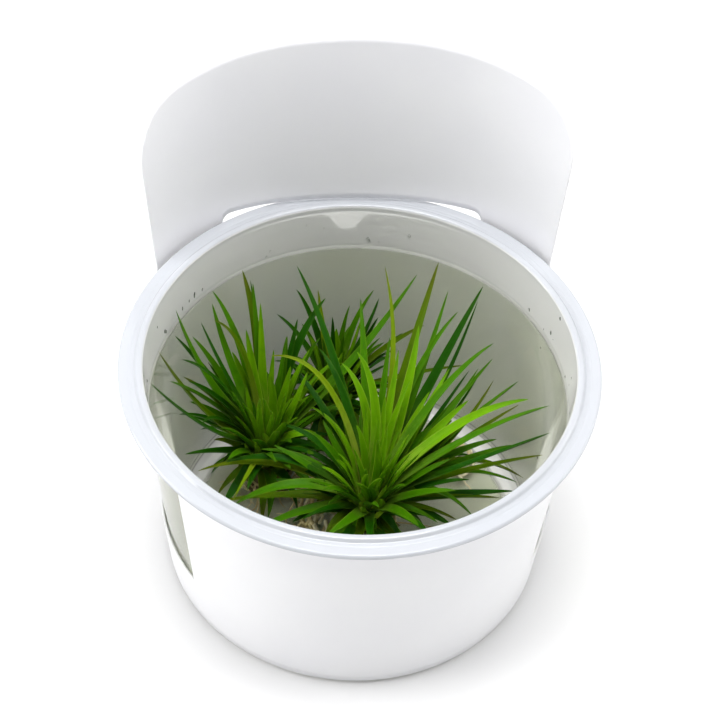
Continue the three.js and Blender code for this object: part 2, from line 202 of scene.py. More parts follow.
def clear_plastic():
    """Clear plastic that is milky where it is thick: the rim, the moulded ring round the floor and, less so,
    the collar. The rim is also greyer and bluer than the rest: this is partly its own bluish cast and partly
    painted shade. Below the ledge it has upright flow lines, patchy haze, and a grey-green tint. The tint is
    partly the plastic's own and partly painted shade of the dim inside of the tub."""
    material, wire = new_material("clear plastic")
    place = wire.place()
    x, y, height = (wire.node("ShaderNodeSeparateXYZ", {"Vector": place}, output=axis) for axis in range(3))
    radius = (x * x + y * y) ** 0.5
    collar = height.between((WALL_TOP - 0.5) * MM, (WALL_TOP + 2) * MM)
    low = height.between(RING_TOP * MM, (RING_TOP - 1) * MM)
    ring = low * radius.between(RING_INSIDE * MM, RING_OUTSIDE * MM)
    rim = (height.between((TUB_HEIGHT - 2.2) * MM, (TUB_HEIGHT - 1.8) * MM)
           * radius.between((COLLAR_RADIUS - 0.6) * MM, (COLLAR_RADIUS - 0.3) * MM))
    flow = wire.noise(wire.stretched(place, (1.0, 1.0, 0.06)), 260.0, 4.0)
    # This noise sets patchy haze in the roughness and picks between two grey-green tints below the ledge. The
    # tint is partly the plastic's own and partly painted shade of the dim inside of the tub.
    haze_and_shade = wire.noise(wire.stretched(place, (1.0, 1.0, 0.3)), 70.0, 5.0, 0.6)
    tint_and_painted_shade = wire.mix(haze_and_shade.between(0.40, 0.75), (0.95, 0.975, 0.82), (0.975, 0.995, 0.88))
    clear = {
        "Base Color": wire.mix(collar, tint_and_painted_shade, (1.0, 1.0, 0.98)),
        "Roughness": 0.04 + haze_and_shade.between(0.40, 0.75) * 0.08,
        "Normal": wire.bump((flow * 0.6 + haze_and_shade) * (1 - collar), 0.06, 0.5),
        "IOR": 1.49,
    }
    # The rim's grey-blue colour is partly the plastic's own bluish cast and partly painted shade: the flat rim
    # is made darker than the rest of the milky plastic.
    milky = dict(clear, **{"Base Color": wire.mix(rim, (0.99, 0.99, 0.96), (0.61, 0.63, 0.67)),
                           "Transmission Weight": 0.25})
    shader = wire.node("ShaderNodeMixShader", {
        0: wire.maths("MAXIMUM", wire.maths("MAXIMUM", ring, rim), collar * COLLAR_MILK),
        1: wire.principled(dict(clear, **{"Transmission Weight": 0.88})),
        2: wire.principled(milky),
    })
    wire.node("ShaderNodeOutputMaterial", {"Surface": shader})
    return material


# Radius, height and rounding of each corner, from the underside's middle round the wall to the floor's middle.
tub_profile = np.array([
    (0, 0, 0),
    (BASE_RADIUS - 1.2, 0, 0.5),
    (BASE_RADIUS - 0.3, 0.5, 0.4),
    (BASE_RADIUS + 0.2, 1.6, 0.5),
    (COLLAR_RADIUS - 0.75, WALL_TOP - 0.4, 0.5),
    (COLLAR_RADIUS - 0.7, WALL_TOP + 1, 0.5),
    (COLLAR_RADIUS, TUB_HEIGHT - 1.9, 0.4),
    (RIM_RADIUS - 0.3, TUB_HEIGHT - 1.9, 0.15),
    (RIM_RADIUS, TUB_HEIGHT - 1.6, 0.15),
    (RIM_RADIUS, TUB_HEIGHT - 1, 0.15),
    (RIM_RADIUS - 0.3, TUB_HEIGHT - 0.7, 0.15),
    (RIM_RADIUS - 1.8, TUB_HEIGHT - 0.7, 0.1),
    (RIM_RADIUS - 2.1, TUB_HEIGHT - 0.77, 0.2),
    (RIM_RADIUS - 2.4, TUB_HEIGHT - 0.7, 0.1),
    (RIM_RADIUS - 3.1, TUB_HEIGHT - 0.7, 0.2),
    (RIM_RADIUS - 3.6, TUB_HEIGHT, 0.3),
    (COLLAR_RADIUS - 0.2, TUB_HEIGHT, 0.25),
    (COLLAR_RADIUS - 0.6, TUB_HEIGHT - 0.4, 0.2),
    (COLLAR_RADIUS - 1.2, WALL_TOP + 1, 0.25),
    (COLLAR_RADIUS - 1.55, WALL_TOP + 0.4, 0.3),
    (BASE_RADIUS - 0.9, 4, 0.8),
    (BASE_RADIUS - 1.3, 2, 0.5),
    (BASE_RADIUS - 2.2, 1, 0.4),
    (BASE_RADIUS - 4, 1, 0.3),
    (BASE_RADIUS - 4.6, FLOOR_TOP, 0.3),
    (0, FLOOR_TOP, 0),
])
TUB_SEGMENTS = 240
turned = rounded(tub_profile)
tub = make_piece("clear_tub", lathe(turned, TUB_SEGMENTS), grid_faces(len(turned), TUB_SEGMENTS, True),
                 [clear_plastic()])
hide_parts("tub")


# Label sleeve: one die-cut strip of white coated card, wrapped round the tub and glued to itself on the right
# side band. The rim passes through the slot in its back panel, which stands up as the display card. Below the
# rim that panel is wider, with a wing at each side.

CARD = 0.45
SLEEVE_BOTTOM, SLEEVE_BOTTOM_RADIUS, SLEEVE_SLOPE = 1.2, 39.1, 0.0928
BAND_TOP, FRONT_TOP = 13.7, 52.4
FRONT_LEFT_EDGE, FRONT_RIGHT_EDGE = 304.5, 421.0
BACK, BACK_HALF_ANGLE = 180.0, 55.2
WING_RIGHT_EDGE, WING_LEFT_EDGE = 97.5, 254.0
SEAM, SEAM_LAP = 82.0, 6.0
SLOT_HALF_ANGLE, SLOT_BOTTOM, SLOT_TOP = 34.0, 50.6, 55.0
NOTCH_DEPTH, NOTCH_MIDDLE, NOTCH_HALF_ANGLE, NOTCH_SIDE_ANGLE = 3.8, BACK + 1, 6.0, 4.8
ARCH_TOP, ARCH_RADIUS, ARCH_CORNER, ARCH_WIDTH_RADIUS = 95.6, 175.0, 14.0, 49.0
FRONT_LEFT_CORNER, FRONT_RIGHT_CORNER, WING_CORNER = 2.2, 4.5, 4.0
# How far the back panel stands off the cone at the rim: straight behind, how much more at most beside, and
# how many times faster than the angle from the back that grows.
BULGE_BEHIND, BULGE_BESIDE, BULGE_TURN = 1.23, 4.3, 1.8
LAP_GAP = 0.3


def smooth(x):
    """0 below 0, 1 above 1, and 3 t squared less 2 t cubed between them."""
    t = np.clip(x, 0, 1)
    return t * t * (3 - 2 * t)


def sleeve_radius(angle, z):
    """The tub's cone. Above the band, the back panel and its wings leave it and swing out round the rim beside
    the slot; the strip's first end is lifted over its last one at the glue lap."""
    from_back = np.abs(angle - BACK)
    cone = SLEEVE_BOTTOM_RADIUS + SLEEVE_SLOPE * (z - SLEEVE_BOTTOM)
    bulge = BULGE_BEHIND + BULGE_BESIDE * np.sin(np.radians(BULGE_TURN * from_back)) ** 2
    is_back = (angle > WING_RIGHT_EDGE - 0.01) & (angle < WING_LEFT_EDGE + 0.01)
    lift = np.where(is_back, bulge * smooth((z - BAND_TOP) / (TUB_HEIGHT - BAND_TOP)), 0)
    return cone + lift + (CARD + LAP_GAP) * (1 - smooth((angle - SEAM - SEAM_LAP) / SEAM_LAP))


def arch_height(angle):
    """The card's top edge: a flat parabola that runs into a round corner at each side."""
    along = np.abs(np.radians(angle - BACK)) * ARCH_WIDTH_RADIUS
    centre = math.radians(BACK_HALF_ANGLE) * ARCH_WIDTH_RADIUS - ARCH_CORNER
    joint = centre + ARCH_CORNER * math.sin(math.atan(centre / ARCH_RADIUS))
    drop = math.sqrt(ARCH_CORNER ** 2 - (joint - centre) ** 2)
    arc = ARCH_TOP - along ** 2 / (2 * ARCH_RADIUS)
    corner = (ARCH_TOP - joint ** 2 / (2 * ARCH_RADIUS) - drop
              + np.sqrt(np.maximum(0, ARCH_CORNER ** 2 - (along - centre) ** 2)))
    return np.where(along <= joint, arc, corner)


def corner_drop(gap, size):
    """How far a quarter circle of radius size lies below the edge it rounds off, at a gap from its end."""
    gap = np.clip(gap, 0, size)
    return size - np.sqrt(np.maximum(0, size ** 2 - (size - gap) ** 2))


def front_height(angle):
    """The front panel's top edge, with a small round corner on the left and a larger one on the right."""
    radius = SLEEVE_BOTTOM_RADIUS + SLEEVE_SLOPE * FRONT_TOP
    return (FRONT_TOP - corner_drop(np.abs(np.radians(angle - FRONT_LEFT_EDGE)) * radius, FRONT_LEFT_CORNER)
            - corner_drop(np.abs(np.radians(angle - FRONT_RIGHT_EDGE)) * radius, FRONT_RIGHT_CORNER))


def wing_height(angle):
    """A wing's top edge: level with the slot's lower edge, with a small hollow round where it meets the
    display card's side and a round corner at its free end."""
    radius = SLEEVE_BOTTOM_RADIUS + SLEEVE_SLOPE * SLOT_BOTTOM
    from_card = np.radians(np.abs(angle - BACK) - BACK_HALF_ANGLE) * radius
    from_end = np.radians(np.where(angle < BACK, angle - WING_RIGHT_EDGE, WING_LEFT_EDGE - angle)) * radius
    return (SLOT_BOTTOM + corner_drop(from_card, (SLOT_TOP - SLOT_BOTTOM) / 2)
            - corner_drop(from_end, WING_CORNER))


def slot_edge(angle, side):
    """The slot's lower (side -1) or upper (side 1) edge. Both run into a half circle at the slot's ends, and
    the lower one dips into a finger notch just right of the middle."""
    from_back = np.abs(angle - BACK)
    end = math.degrees((SLOT_TOP - SLOT_BOTTOM) / 2 / ARCH_WIDTH_RADIUS)
    open_share = np.sqrt(np.clip(1 - (np.maximum(0, from_back - SLOT_HALF_ANGLE + end) / end) ** 2, 0, 1))
    middle = (SLOT_BOTTOM + SLOT_TOP) / 2
    notch = smooth((NOTCH_HALF_ANGLE - np.abs(angle - NOTCH_MIDDLE)) / NOTCH_SIDE_ANGLE) if side < 0 else 0
    return middle + side * open_share * (SLOT_TOP - SLOT_BOTTOM) / 2 - NOTCH_DEPTH * notch


def sleeve_zone(first, last, lower, upper, rows):
    """A part of the strip between two angles and two edges, each edge a height for every angle."""
    angle = columns[(columns >= first - 1e-6) & (columns <= last + 1e-6)][None, :]
    share = np.linspace(0, 1, rows)[:, None]
    z = lower(angle) * (1 - share) + upper(angle) * share
    a = np.radians(angle) + 0 * z
    r = sleeve_radius(angle, z)
    return np.stack([r * np.sin(a), -r * np.cos(a), z], -1)


# The angles of the sleeve's columns: even ones, and close ones at each edge, corner, end of the slot and in
# the notch.
back_first, back_last = BACK - BACK_HALF_ANGLE, BACK + BACK_HALF_ANGLE
edge_steps = np.array([0, 0.15, 0.4, 0.8, 1.3, 2, 3, 4.2, 5.8, 7.5])
slot_steps = np.array([0, 0.05, 0.2, 0.45, 0.8, 1.3, 1.9, 2.5, 3.2])
columns = np.unique(np.round(np.concatenate([
    np.arange(SEAM, 360 + SEAM + SEAM_LAP + 0.01, 1.5),
    back_first + edge_steps, back_last - edge_steps,
    FRONT_LEFT_EDGE + edge_steps, FRONT_RIGHT_EDGE - edge_steps,
    BACK - SLOT_HALF_ANGLE + slot_steps, BACK + SLOT_HALF_ANGLE - slot_steps,
    back_first - slot_steps, back_last + slot_steps,
    WING_RIGHT_EDGE + edge_steps, WING_LEFT_EDGE - edge_steps,
    NOTCH_MIDDLE + np.arange(-7, 7.1, 0.4),
]), 3))
columns = columns[np.concatenate([[True], np.diff(columns) > 0.04])]


def flat_edge(height):
    """An edge that is at one height all the way."""
    return lambda angle: height + 0 * angle


zones = [
    sleeve_zone(SEAM, 360 + SEAM + SEAM_LAP, flat_edge(SLEEVE_BOTTOM), flat_edge(BAND_TOP), 8),
    sleeve_zone(FRONT_LEFT_EDGE, FRONT_RIGHT_EDGE, flat_edge(BAND_TOP), front_height, 20),
    sleeve_zone(back_first, back_last, flat_edge(BAND_TOP), lambda angle: slot_edge(angle, -1), 22),
    sleeve_zone(back_first, back_last, lambda angle: slot_edge(angle, 1), arch_height, 28),
    sleeve_zone(WING_RIGHT_EDGE, back_first, flat_edge(BAND_TOP), wing_height, 22),
    sleeve_zone(back_last, WING_LEFT_EDGE, flat_edge(BAND_TOP), wing_height, 22),
]
sleeve_points, sleeve_faces, count = [], [], 0
for zone in zones:
    sleeve_faces.append(grid_faces(*zone.shape[:2], False) + count)
    sleeve_points.append(zone.reshape(-1, 3))
    count += len(sleeve_points[-1])


def white_card():
    """Thin coated card: near white with a faint violet cast, a satin sheen, fibres just showing, and light
    that passes through it."""
    material, wire = new_material("white card")
    place = wire.place()
    cloud = wire.noise(place, 45.0, 4.0)
    fibre = wire.noise(wire.stretched(place, (1.0, 1.0, 2.2)), 1500.0, 3.0, 0.6)
    wire.surface({
        "Base Color": wire.mix(cloud.between(0.3, 0.7), (0.78, 0.78, 0.805), (0.80, 0.80, 0.82)),
        "Roughness": 0.42 + fibre * 0.12,
        "Normal": wire.bump(fibre, 0.02, 0.5),
        "Specular IOR Level": 0.45,
        "Subsurface Weight": 1.0,
        "Subsurface Radius": (1.0, 1.0, 1.0),
        "Subsurface Scale": 0.0007,
    })
    return material


sleeve = make_piece("card_sleeve", np.concatenate(sleeve_points), np.concatenate(sleeve_faces), [white_card()])
thickness = sleeve.modifiers.new("card thickness", "SOLIDIFY")
thickness.thickness, thickness.offset, thickness.use_even_offset = CARD * MM, 0.0, True
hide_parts("label_sleeve")


# Leaves: thick grass-like blades with a shallow gutter above, a keel below, and fine veins along them. They
# leave the crown in a rosette: bright young ones inside, darker and more olive old ones outside.

LEAF_RING, LEAF_STEPS = 16, 26
BULB_RADIUS, BULB_HALF_HEIGHT, LEAF_GAP = 3.6, 5.0, 0.35
BLADE_SPREAD, BLADE_TAPER = 1.3, 0.6


def blade(crown, heading, reach, rise, arch, bow, width, foot, inner=False):
    """A blade along a quadratic curve from the crown to the tip, which bows up by arch and sideways by bow.
    Across it runs from -1 to 1: the upper face is a shallow gutter, the lower face a keel, they meet at the
    edges, and both halves fold up from the midrib. Its half width falls from a broad foot to the tip as 1 - t
    to the power 0.6; foot is the share of its length that runs back into the crown. An inner blade starts in
    the crown, an outer one just off its skin. A slow twist grows with the square of the way along."""
    turn = math.radians(heading)
    out = np.array([math.sin(turn), math.cos(turn), 0.0])
    side, up = np.array([out[1], -out[0], 0.0]), np.array([0.0, 0.0, 1.0])
    lean = math.atan2(rise + 2.5 * arch, reach)
    start = np.array(crown, float)
    if inner:
        start = start + out * 1.2 - up * 1.5
    else:
        start = start + out * ((BULB_RADIUS + LEAF_GAP) * math.cos(lean) + 0.25)
        start = start + up * (BULB_HALF_HEIGHT + LEAF_GAP) * math.sin(lean)
    tip = np.array(crown) + out * reach + up * rise
    middle = (start + tip) / 2 + up * 2 * arch + side * 2 * bow

    near_tip = [0.965, 0.985, 0.997, 1.0]
    t = np.concatenate([[-foot], np.linspace(-foot, 0.94, LEAF_STEPS - 5), near_tip])[:, None]
    size = np.ones_like(t)
    size[0] = 0
    line = (1 - t) ** 2 * start + 2 * t * (1 - t) * middle + t ** 2 * tip
    along = 2 * (1 - t) * (middle - start) + 2 * t * (tip - middle)
    along /= np.linalg.norm(along, axis=1, keepdims=True)
    across = side - along * (along @ side)[:, None]
    across /= np.linalg.norm(across, axis=1, keepdims=True)
    normal = np.cross(across, along)

    ring = -2 * np.pi * np.arange(LEAF_RING)[None, :] / LEAF_RING
    s, top = np.cos(ring), np.sin(ring)
    past = np.clip(t, 0, 1)
    half = size * width / 2 * BLADE_SPREAD * (1 - past) ** BLADE_TAPER
    keel = size * (0.16 + 0.14 * half) * np.minimum(1, 12 * (1 - past))
    gutter = keel * (0.15 + 0.45 * np.abs(s) ** 1.5) + 0.05 * size * np.minimum(1, 12 * (1 - past)) * top
    under = -keel * (1 - 1.6 * np.abs(s) ** 1.2)
    y = np.where(top > 0.01, gutter, np.where(top < -0.01, under, keel * 0.6))
    y = y + (0.28 + 0.14 * math.sin(heading * 2.3 + reach)) * half * np.abs(s) ** 1.3
    x = s * half
    twist = np.radians(25 * math.sin(heading * 1.7 + rise)) * past ** 2
    x, y = x * np.cos(twist) - y * np.sin(twist), x * np.sin(twist) + y * np.cos(twist)
    points = line[:, None] + across[:, None] * x[..., None] + normal[:, None] * y[..., None]
    uv = np.stack([0.5 + 0.5 * s + 0 * t, past + 0 * s], -1)
    return points.reshape(-1, 3), uv.reshape(-1, 2)


def leaf_material(name, foot, body, tip, vein):
    """Fleshy leaf: pale foot, full colour along the blade, its own tip colour, darker veins along it, a pale
    midrib and edges, mottling, and a waxy gloss that the veins break up. The pale foot is partly the leaf's
    own paler base and partly painted light on the shaded middle of the crowns."""
    material, wire = new_material(name)
    place = wire.place()
    surface = wire.node("ShaderNodeUVMap", {}, {"uv_map": "surface"})
    axes = wire.node("ShaderNodeSeparateXYZ", {"Vector": surface})
    across, along = axes, Wire(wire.tree, axes.socket.node.outputs[1])
    mottle = wire.noise(place, 420.0, 4.0, 0.6)
    patch = wire.noise(place, 90.0, 2.0)
    drift = along + (patch - 0.5) * 0.25
    # The long pale foot of this ramp is partly the leaf's own paler base and partly painted light that lifts
    # the shaded middle of the crowns.
    length = wire.node("ShaderNodeValToRGB", {"Fac": drift}, {"stops": [
        (0.0, foot), (0.20, [0.5 * f + 0.5 * b for f, b in zip(foot, body)]), (0.42, body), (0.72, body),
        (0.96, tip)]})
    stripes = (across * 56.5).sine() * 0.5 + 0.5
    rib = wire.maths("ABSOLUTE", across - 0.5)
    marked = wire.mix(stripes * (0.15 + patch * 0.5) + mottle.between(0.45, 0.7) * 0.25, length, vein)
    edged = wire.mix(rib.between(0.40, 0.5) * 0.30, marked, foot)
    wire.surface({
        "Base Color": wire.mix(rib.between(0.05, 0.0) * 0.22, edged, vein),
        "Roughness": 0.26 + mottle * 0.20,
        "Normal": wire.bump(stripes * 0.6 + mottle * 0.8, 0.05, 0.7),
        "Specular IOR Level": 0.06,
        "Subsurface Weight": 0.2,
        "Subsurface Radius": (0.6, 1.0, 0.15),
        "Subsurface Scale": 0.0008,
    })
    return material


leaf_materials = {
    "young": leaf_material("leaf young", (0.42, 0.60, 0.06), (0.148, 0.340, 0.002), (0.110, 0.270, 0.003),
                           (0.068, 0.225, 0.002)),
    "green": leaf_material("leaf green", (0.20, 0.34, 0.03), (0.058, 0.185, 0.001), (0.055, 0.160, 0.003),
                           (0.018, 0.095, 0.001)),
    "dark": leaf_material("leaf dark", (0.10, 0.20, 0.015), (0.014, 0.082, 0.001), (0.020, 0.080, 0.002),
                          (0.004, 0.040, 0.001)),
    "olive": leaf_material("leaf olive", (0.20, 0.26, 0.02), (0.075, 0.145, 0.001), (0.095, 0.105, 0.006),
                           (0.034, 0.082, 0.001)),
    "yellow": leaf_material("leaf yellow", (0.28, 0.37, 0.04), (0.155, 0.245, 0.003), (0.170, 0.200, 0.010),
                            (0.080, 0.160, 0.002)),
    # The sheath's pale bright colours are partly the leaf bases' own and partly painted light on the shaded
    # middle of each crown.
    "sheath": leaf_material("leaf sheath", (0.55, 0.66, 0.14), (0.340, 0.540, 0.025), (0.190, 0.420, 0.006),
                            (0.180, 0.380, 0.012)),
}
LEAF_TONES = list(leaf_materials)


def blades(crown, rows, foot, inner):
    """The blades of the given rows as one set of points, faces, places on the surface and finishes."""
    points, uv = zip(*[blade(crown, *row[:6], foot, inner) for row in rows])
    rings = len(points[0]) // LEAF_RING
    faces = [grid_faces(rings, LEAF_RING, True) + k * len(points[0]) for k in range(len(rows))]
    finish = np.repeat([LEAF_TONES.index(row[6]) for row in rows], len(faces[0]))
    return np.concatenate(points), np.concatenate(faces), np.concatenate(uv), finish


# Each leaf: heading (degrees clockwise from the back), reach, rise, arch, bow, width and tone. The outer
# leaves are pieces of their own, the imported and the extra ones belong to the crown's piece.
plants = {
    "left": {
        "crown": (-18.6, 12, 12.5),
        "leaves": [
            (-114.5, 25.2, 34.4, -2.5, -2, 1.6, "dark"), (-94, 21.5, 33.7, -3, -2.5, 2.3, "olive"),
            (-106, 20, 29, 0.5, 2, 1.6, "green"), (-66, 19.7, 35.6, -0.5, -3, 2.5, "green"),
            (-98, 17, 32, 4.5, 0.5, 1.8, "dark"), (-104, 16, 27, 1.5, 1, 2.2, "dark"),
            (-126, 16, 20, 1.5, 3, 1.5, "dark"), (-67, 14, 34.5, 3, -2, 1.4, "dark"),
            (-53, 13, 32.5, 5.5, 2, 1.6, "olive"), (-45, 15, 34.5, 2.5, -1.5, 2, "green"),
            (-35, 18.5, 33.5, 3, 1, 2.2, "green"), (-12, 21, 34, 3, 1, 2.4, "olive"),
            (38, 21, 29.5, 4, -0.5, 2.3, "dark"), (62, 36, 36, -0.5, 2, 2.5, "green"),
            (-161, 21, 8, 1.5, -0.5, 1.1, "yellow"),
        ],
        "packed": [
            (-8, 16, 35, 3.5, 0, 1.8, "green"), (-3, 13, 32, 2.5, 0, 2.1, "young"),
            (24, 12, 24, 3, 1, 2, "green"), (74, 9, 12.5, 3, -3.5, 2.5, "young"),
            (102, 11, 8, 5.5, 2.5, 2.6, "young"), (108, 13, 4, 5, 1, 1.8, "dark"),
            (64, 10, 20, 3, 2, 2.5, "young"), (160, 5, 18, 1, 0, 1.9, "young"),
            (-150, 5, 21, 1, 0, 1.9, "green"),
        ],
        "extra": [
            (-9, 17.4, 34.5, 2, 0.5, 1.3, "dark"), (-1, 12.7, 27.5, 2, -0.5, 1.5, "green"),
            (12, 9.6, 21.5, 2, 0, 1.8, "young"), (26, 10.7, 25.5, 2.5, 0.5, 1.7, "green"),
            (-23, 9.5, 28.5, 2.5, 0, 2.5, "young"), (-43, 9.8, 23.5, 2, 0.5, 2.5, "young"),
            (-56, 14.2, 19.5, 2, -0.5, 1.6, "dark"), (-64, 9.9, 11.5, 3, 0, 1.7, "dark"),
            (-85, 13.7, 5.5, 3.5, 0, 1.6, "dark"), (-107, 9.8, -1.5, 4, 0, 1.4, "dark"),
            (-112, 6.5, -5.5, 4, 0.5, 1.3, "dark"), (42, 11.3, 14.5, 3, 0, 1.8, "green"),
            (50, 15, 7.5, 4, 0.5, 1.7, "dark"), (-170, 6, 24, 1.5, 0.5, 1.8, "young"),
            (120, 5, 22, 1.5, -0.5, 1.8, "young"), (-120, 8, 24, 2, 0.5, 1.9, "green"),
            (50, 12.3, 23, 2, 0, 2.3, "young"), (58, 13.3, 15.5, 3, 0.5, 2.5, "young"),
            (67, 15.4, 14.5, 3, 0, 2.3, "green"), (60, 18.5, 19, 3, -0.5, 2.3, "young"),
            (90, 14.7, 4, 3, 0, 1.9, "dark"), (95, 14.2, 0, 3, 0.5, 2, "dark"),
            (72, 6.5, 9, 6.5, -2.5, 2, "green"), (88, 8, 5, 5, -2, 2.1, "green"),
            (-72, 19.2, 30, 1.5, 0.5, 2.1, "dark"), (-58, 17.5, 26, 2, 0.5, 2.4, "green"),
            (-84, 17, 22, 2.5, 0.5, 2.2, "olive"), (-98, 18, 15, 2.5, 1, 2.1, "dark"),
            (30, 14, 28, 2, 0.5, 2.2, "dark"), (-30, 13, 28, 2, 0.5, 2.4, "green"),
            (44, 17, 22, 2.5, -0.5, 2.3, "green"), (76, 19, 9, 3.5, 0.5, 2, "green"),
            (115, 14, -2, 3, 0, 1.9, "dark"), (130, 12, -4, 3, 0, 1.9, "green"),
            (-140, 12, -5, 3, 0, 1.9, "dark"),
        ],
        "roots": {"radius": 5.6, "turn": 0.4},
    },
    "right": {
        "crown": (3, -3, 13),
        "leaves": [
            (23, 38, 36, 2, 0, 2.4, "olive"), (38, 39, 33, 2, 0.5, 2.4, "dark"),
            (6, 35, 35, 2.5, 3, 1.4, "yellow"), (-22, 39, 34, 4.5, 0.5, 1.9, "dark"),
            (56, 30.5, 30.5, 5.5, 0, 2, "green"), (56, 27, 25, 1, 2, 2.1, "green"),
            (62, 29, 23, -0.5, 3, 1.7, "olive"), (77, 33, 24, 5, -0.5, 2.5, "young"),
            (85, 36, 27, 3, 0, 2.1, "green"), (91, 36, 23, 1, 1, 1.8, "dark"),
            (92, 35, 16.5, 0, -1, 1.8, "olive"), (79, 34, -1, 7.5, -0.5, 2.1, "olive"),
            (74, 34, -6, 5, -0.5, 1.9, "green"), (84, 31, -1, 1, 0.5, 2.3, "dark"),
            (101, 22, 0, 5, -0.5, 2.2, "green"), (-99, 25, -5, 2.5, 0, 2.3, "green"),
            (-93, 28, 2, 4.5, 0.5, 2.7, "green"), (-82, 32, -5, 2, 0, 2, "olive"),
            (-76, 37, 0, 5, 1, 2.2, "yellow"), (-75, 31, 4, 5, 0.5, 2.3, "dark"),
            (-47, 28, 25, 8.5, 3, 1.4, "yellow"), (-34, 29, 17, 2, 0.5, 2, "dark"),
            (-26, 23.5, 25, 4.5, 0.5, 2.1, "dark"),
        ],
        "packed": [
            (25, 24, 31, 3, 1.5, 2.7, "young"), (36, 31.5, 31, 5.5, -1.5, 1.8, "green"),
            (-3, 29, 31.5, 5, 0, 2.1, "green"), (-12, 14, 32, 5, 2.5, 2.4, "young"),
            (-19, 18, 25, 5, 2.5, 2.3, "young"), (48, 22, 25.5, 2.5, 1, 2.3, "young"),
            (-62, 25, 2, 7.5, 0.5, 1.7, "dark"), (-38, 16, 3, 2.5, 2, 1.9, "young"),
            (-38, 19.5, 13, 3.5, 1.5, 1.9, "young"), (109, 15, -1, 3, 0.5, 2.1, "green"),
            (-104, 9, 2, 3.5, 0, 2.1, "green"), (164, 5.5, -5, 4, 0.5, 2, "green"),
            (-149, 6.5, -5, 3.5, 0.5, 2, "green"), (140, 11, -5, 3, 0, 2.2, "dark"),
        ],
        "extra": [
            (38, 37.5, 30, 1, 2, 1.4, "dark"), (46, 29.8, 18, 2, 1, 1.6, "dark"),
            (50, 30.7, 18, 1, 2, 1.4, "dark"), (73, 32.1, 20, 2, 0.5, 1.7, "olive"),
            (84, 34.8, 26, 3.5, -0.5, 1.7, "green"), (87, 27.8, -1, 2, 0.5, 1.8, "olive"),
            (96, 18.7, -4, 3, 0.5, 1.9, "olive"), (98, 11.7, -6, 4, 0.5, 2, "dark"),
            (116, 5.8, -7, 4, 0, 2, "dark"), (-24, 8.7, 10, 3, -1, 1.9, "young"),
            (-6, 8.7, 21, 2.5, -0.5, 2, "young"), (-41, 12.1, 3, 4, 1, 1.8, "young"),
            (19, 17.8, 29, 3, 0.5, 2, "young"), (45, 17.5, 21, 3, 0.5, 2.1, "young"),
            (64, 22.5, 21, 3, 0.5, 2.6, "young"), (61, 19.7, 15, 3, 0, 2.7, "young"),
            (67, 21.5, 15, 3.5, 0, 2.6, "young"), (71, 28.5, 9, 4, 0.5, 2.4, "green"),
            (64, 24.4, 2, 5, 0, 2.1, "dark"),
            (38, 10.2, 14, 2.5, 0, 2, "young"), (34, 14.6, 25, 2.5, -0.5, 2, "young"),
            (17, 10.3, 23, 2, 0.5, 2.1, "young"), (-86, 14.4, -7, 3, 0.5, 1.9, "olive"),
            (-80, 23.1, -4, 3, 0.5, 1.8, "green"), (-160, 4, 16, 1.5, 0.5, 2, "young"),
            (150, 5, 14, 2, 0, 2, "young"), (95, 8, 17, 2.5, 0.5, 2.1, "young"),
            (-80, 7, 15, 2.5, 0, 2, "young"), (-58, 22, 12, 5, 0.5, 1.9, "dark"),
            (-70, 24, 8, 4, 0.5, 1.9, "green"), (-50, 17, 8, 4, 0.5, 2, "green"),
            (-88, 20, 4, 4, 0, 1.9, "dark"), (-66, 15, 5, 4, 0, 2, "dark"),
            (30, 33, 34, 2, 1, 1.8, "green"), (52, 33, 22, 2, 0.5, 1.9, "green"),
            (80, 30, 12, 3, 0.5, 2.1, "green"), (68, 33, 24, 2, 0.5, 2, "green"),
            (12, 20, 30, 2.5, 0, 2, "green"),
        ],
        "roots": {"radius": 5.6, "turn": 1.9},
    },
    "back": {
        "crown": (-3.5, 27, 11.5),
        "leaves": [
            (-38, 13, 24, 2, 0.5, 1.8, "dark"), (-23, 9, 26, 2, -0.5, 1.6, "yellow"),
            (45, 12, 25.5, 1, -1, 1.9, "green"), (59, 11, 26, 2, 1.5, 1.6, "dark"),
            (79, 15, 18, 0.5, 0, 1.8, "dark"), (86, 19, 22, 2.5, 0.5, 1.8, "olive"),
            (-61, 14, 20, 2.5, 0, 1.9, "dark"), (100, 28, 16, 1.5, 0.5, 1.5, "olive"),
            (88, 15, 4, 2, 0.5, 1.4, "dark"),
        ],
        "packed": [
            (-7, 4, 22, 2.5, 0, 1.6, "dark"), (25, 8, 22, 1.5, -0.5, 1.8, "green"),
            (-120, 8, 15, 1, 0, 1.6, "green"), (150, 4, 14, 1, 0, 1.6, "dark"),
        ],
        "extra": [
            (96, 11.6, 12.5, 2, 0.5, 1.4, "dark"), (84, 9.7, 18.5, 2, 0, 1.5, "green"),
            (85, 12.9, 14.5, 2, -0.5, 1.4, "dark"), (-61, 3, 18.5, 1.5, 0, 1.6, "green"),
            (42, 3.3, 19.5, 1, 0, 1.6, "green"), (55, 7.1, 21.5, 1.5, 0.5, 1.6, "young"),
            (-50, 9, 18, 2, 0.5, 1.9, "green"), (68, 10, 22, 2, 0.5, 1.9, "dark"),
            (-80, 13, 10, 3, 0.5, 1.8, "dark"), (110, 13, 9, 3, 0, 1.8, "green"),
            (-100, 10, 6, 3, 0.5, 1.5, "dark"), (20, 6, 15, 1.5, 0, 1.6, "young"),
        ],
        "roots": {"radius": 4.2, "turn": 3.1},
    },
}

for plant_name, plant in plants.items():
    for number, row in enumerate(plant["leaves"], 1):
        points, faces, uv, _ = blades(plant["crown"], [row], 0.12, False)
        node = f"{plant_name}_leaf_{number:02d}"
        leaf = make_piece(f"{node}_blade", points, faces, [leaf_materials[row[6]]], uv)
        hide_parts(node)


